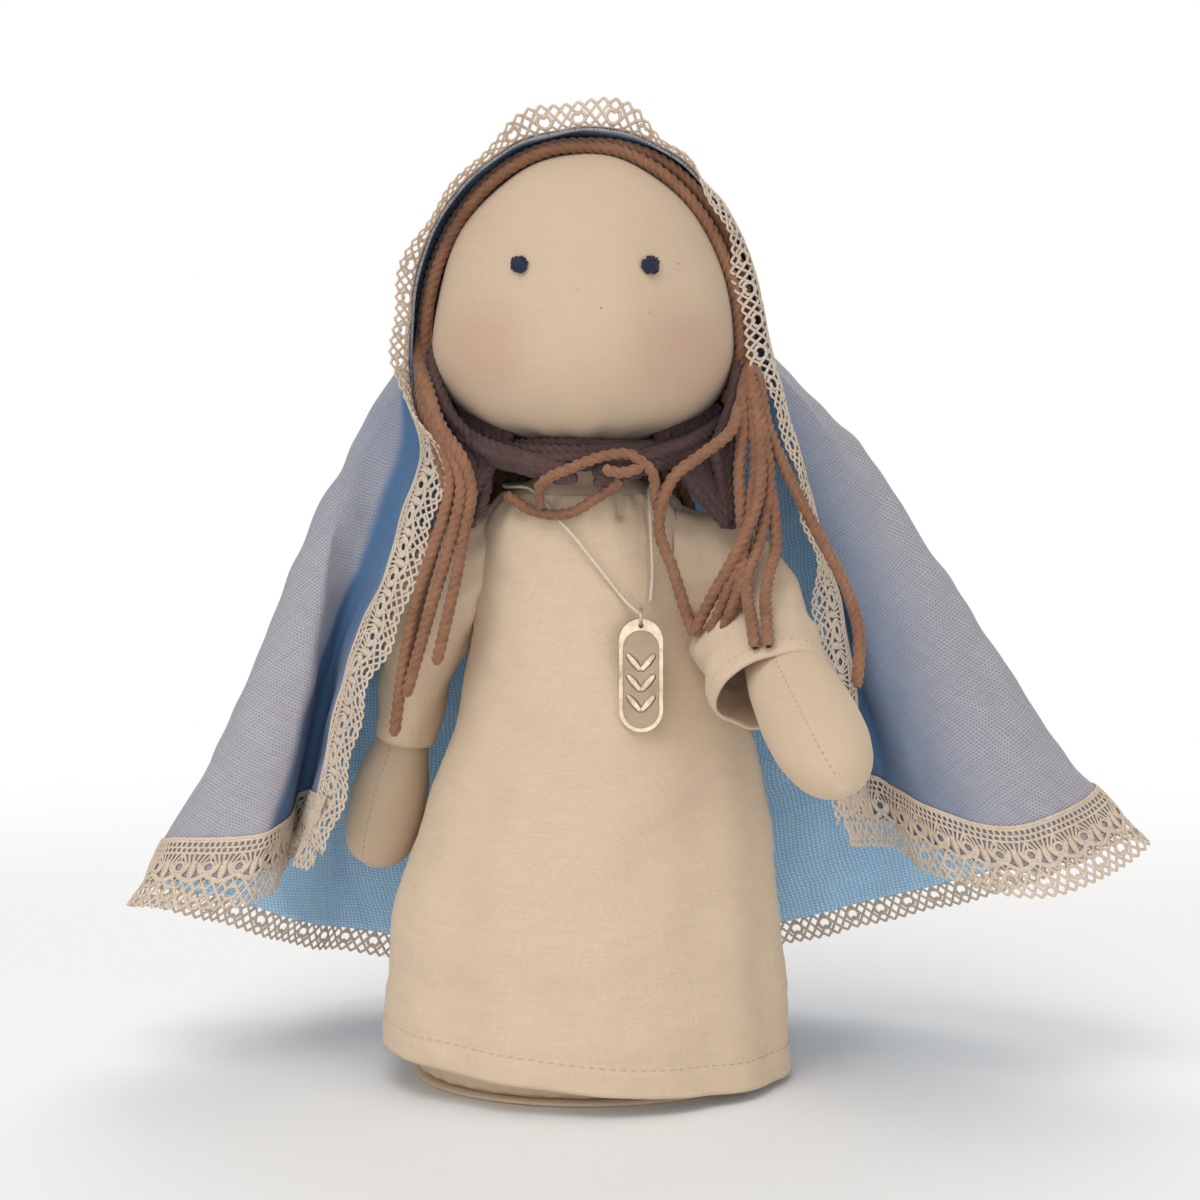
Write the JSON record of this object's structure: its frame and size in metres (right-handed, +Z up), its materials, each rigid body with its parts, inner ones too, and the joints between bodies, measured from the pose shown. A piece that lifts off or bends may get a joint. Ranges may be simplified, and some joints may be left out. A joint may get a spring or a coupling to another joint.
{
  "type": "rag doll",
  "caption": "Stuffed cloth rag doll with yarn hair, a cream linen gown, a blue hooded mantle edged with cream lace, and a pendant on a cord.",
  "frame": {"origin": "middle of the flat oval base, on the surface the doll stands on", "axes": "+Z up, the doll faces -Y, and +X is to the viewer's right"},
  "size_m": [0.3202, 0.1837, 0.3043],
  "materials": {
    "skin_cotton": "matte woven cotton, warm beige",
    "gown_linen": "matte plain-weave cream linen",
    "mantle_linen": "matte open plain-weave light-blue linen",
    "lace_cotton": "cream cotton openwork lace",
    "hair_yarn": "brown plied yarn",
    "eye_thread": "dark navy embroidery thread",
    "white_thread": "off-white waxed cotton cord and sewing thread",
    "fibre_filling": "loose polyester fibre, hidden",
    "weight_pellets": "bag of plastic pellets, hidden",
    "base_card": "plain grey-brown card, hidden",
    "pendant_metal": "aged silver-tone metal with darkened recesses"
  },
  "bodies": {
    "torso": {"bottom_panel": "skin_cotton", "bottom_card": "base_card", "weight_bag": "weight_pellets", "body_filling": "fibre_filling", "body_skin": "skin_cotton", "neck_hair": "hair_yarn", "back_hair": "hair_yarn", "left_lock": "hair_yarn", "right_inner_lock": "hair_yarn", "right_outer_lock": "hair_yarn", "throat_tie": "hair_yarn", "gown_body": "gown_linen", "left_shoulder_lashing": "white_thread", "right_shoulder_lashing": "white_thread", "mantle": "mantle_linen", "front_lace": "lace_cotton", "hem_lace": "lace_cotton", "necklace_cord": "white_thread"},
    "head": {"head_skin": "skin_cotton", "head_filling": "fibre_filling", "left_eye": "eye_thread", "right_eye": "eye_thread", "hair_cap": "hair_yarn"},
    "left_arm": {"left_arm_skin": "skin_cotton", "left_arm_filling": "fibre_filling", "left_sleeve": "gown_linen"},
    "right_arm": {"right_arm_skin": "skin_cotton", "right_arm_filling": "fibre_filling", "right_sleeve": "gown_linen"},
    "pendant": {"pendant_ring": "pendant_metal", "pendant_plate": "pendant_metal"}
  },
  "joints": [
    {"name": "neck_turn", "type": "hinge", "parent": "torso", "child": "head", "pos_m": [0, 0, 0.2032], "axis": [0, 0, 1], "range_deg": [-20, 20]},
    {"name": "left_shoulder", "type": "hinge", "parent": "torso", "child": "left_arm", "pos_m": [-0.0427, 0.002, 0.167], "axis": [-0.9508, 0.1616, 0.2641], "range_deg": [-10, 90], "deforming": ["left_lock"]},
    {"name": "right_shoulder", "type": "hinge", "parent": "torso", "child": "right_arm", "pos_m": [0.0427, -0.002, 0.167], "axis": [-0.9587, -0.2159, -0.1851], "range_deg": [-25, 35], "deforming": ["right_inner_lock", "right_outer_lock"]},
    {"name": "pendant_swing", "type": "hinge", "parent": "torso", "child": "pendant", "pos_m": [0.017, -0.03092, 0.1499], "axis": [-1, 0, 0], "range_deg": [0, 70]}
  ]
}
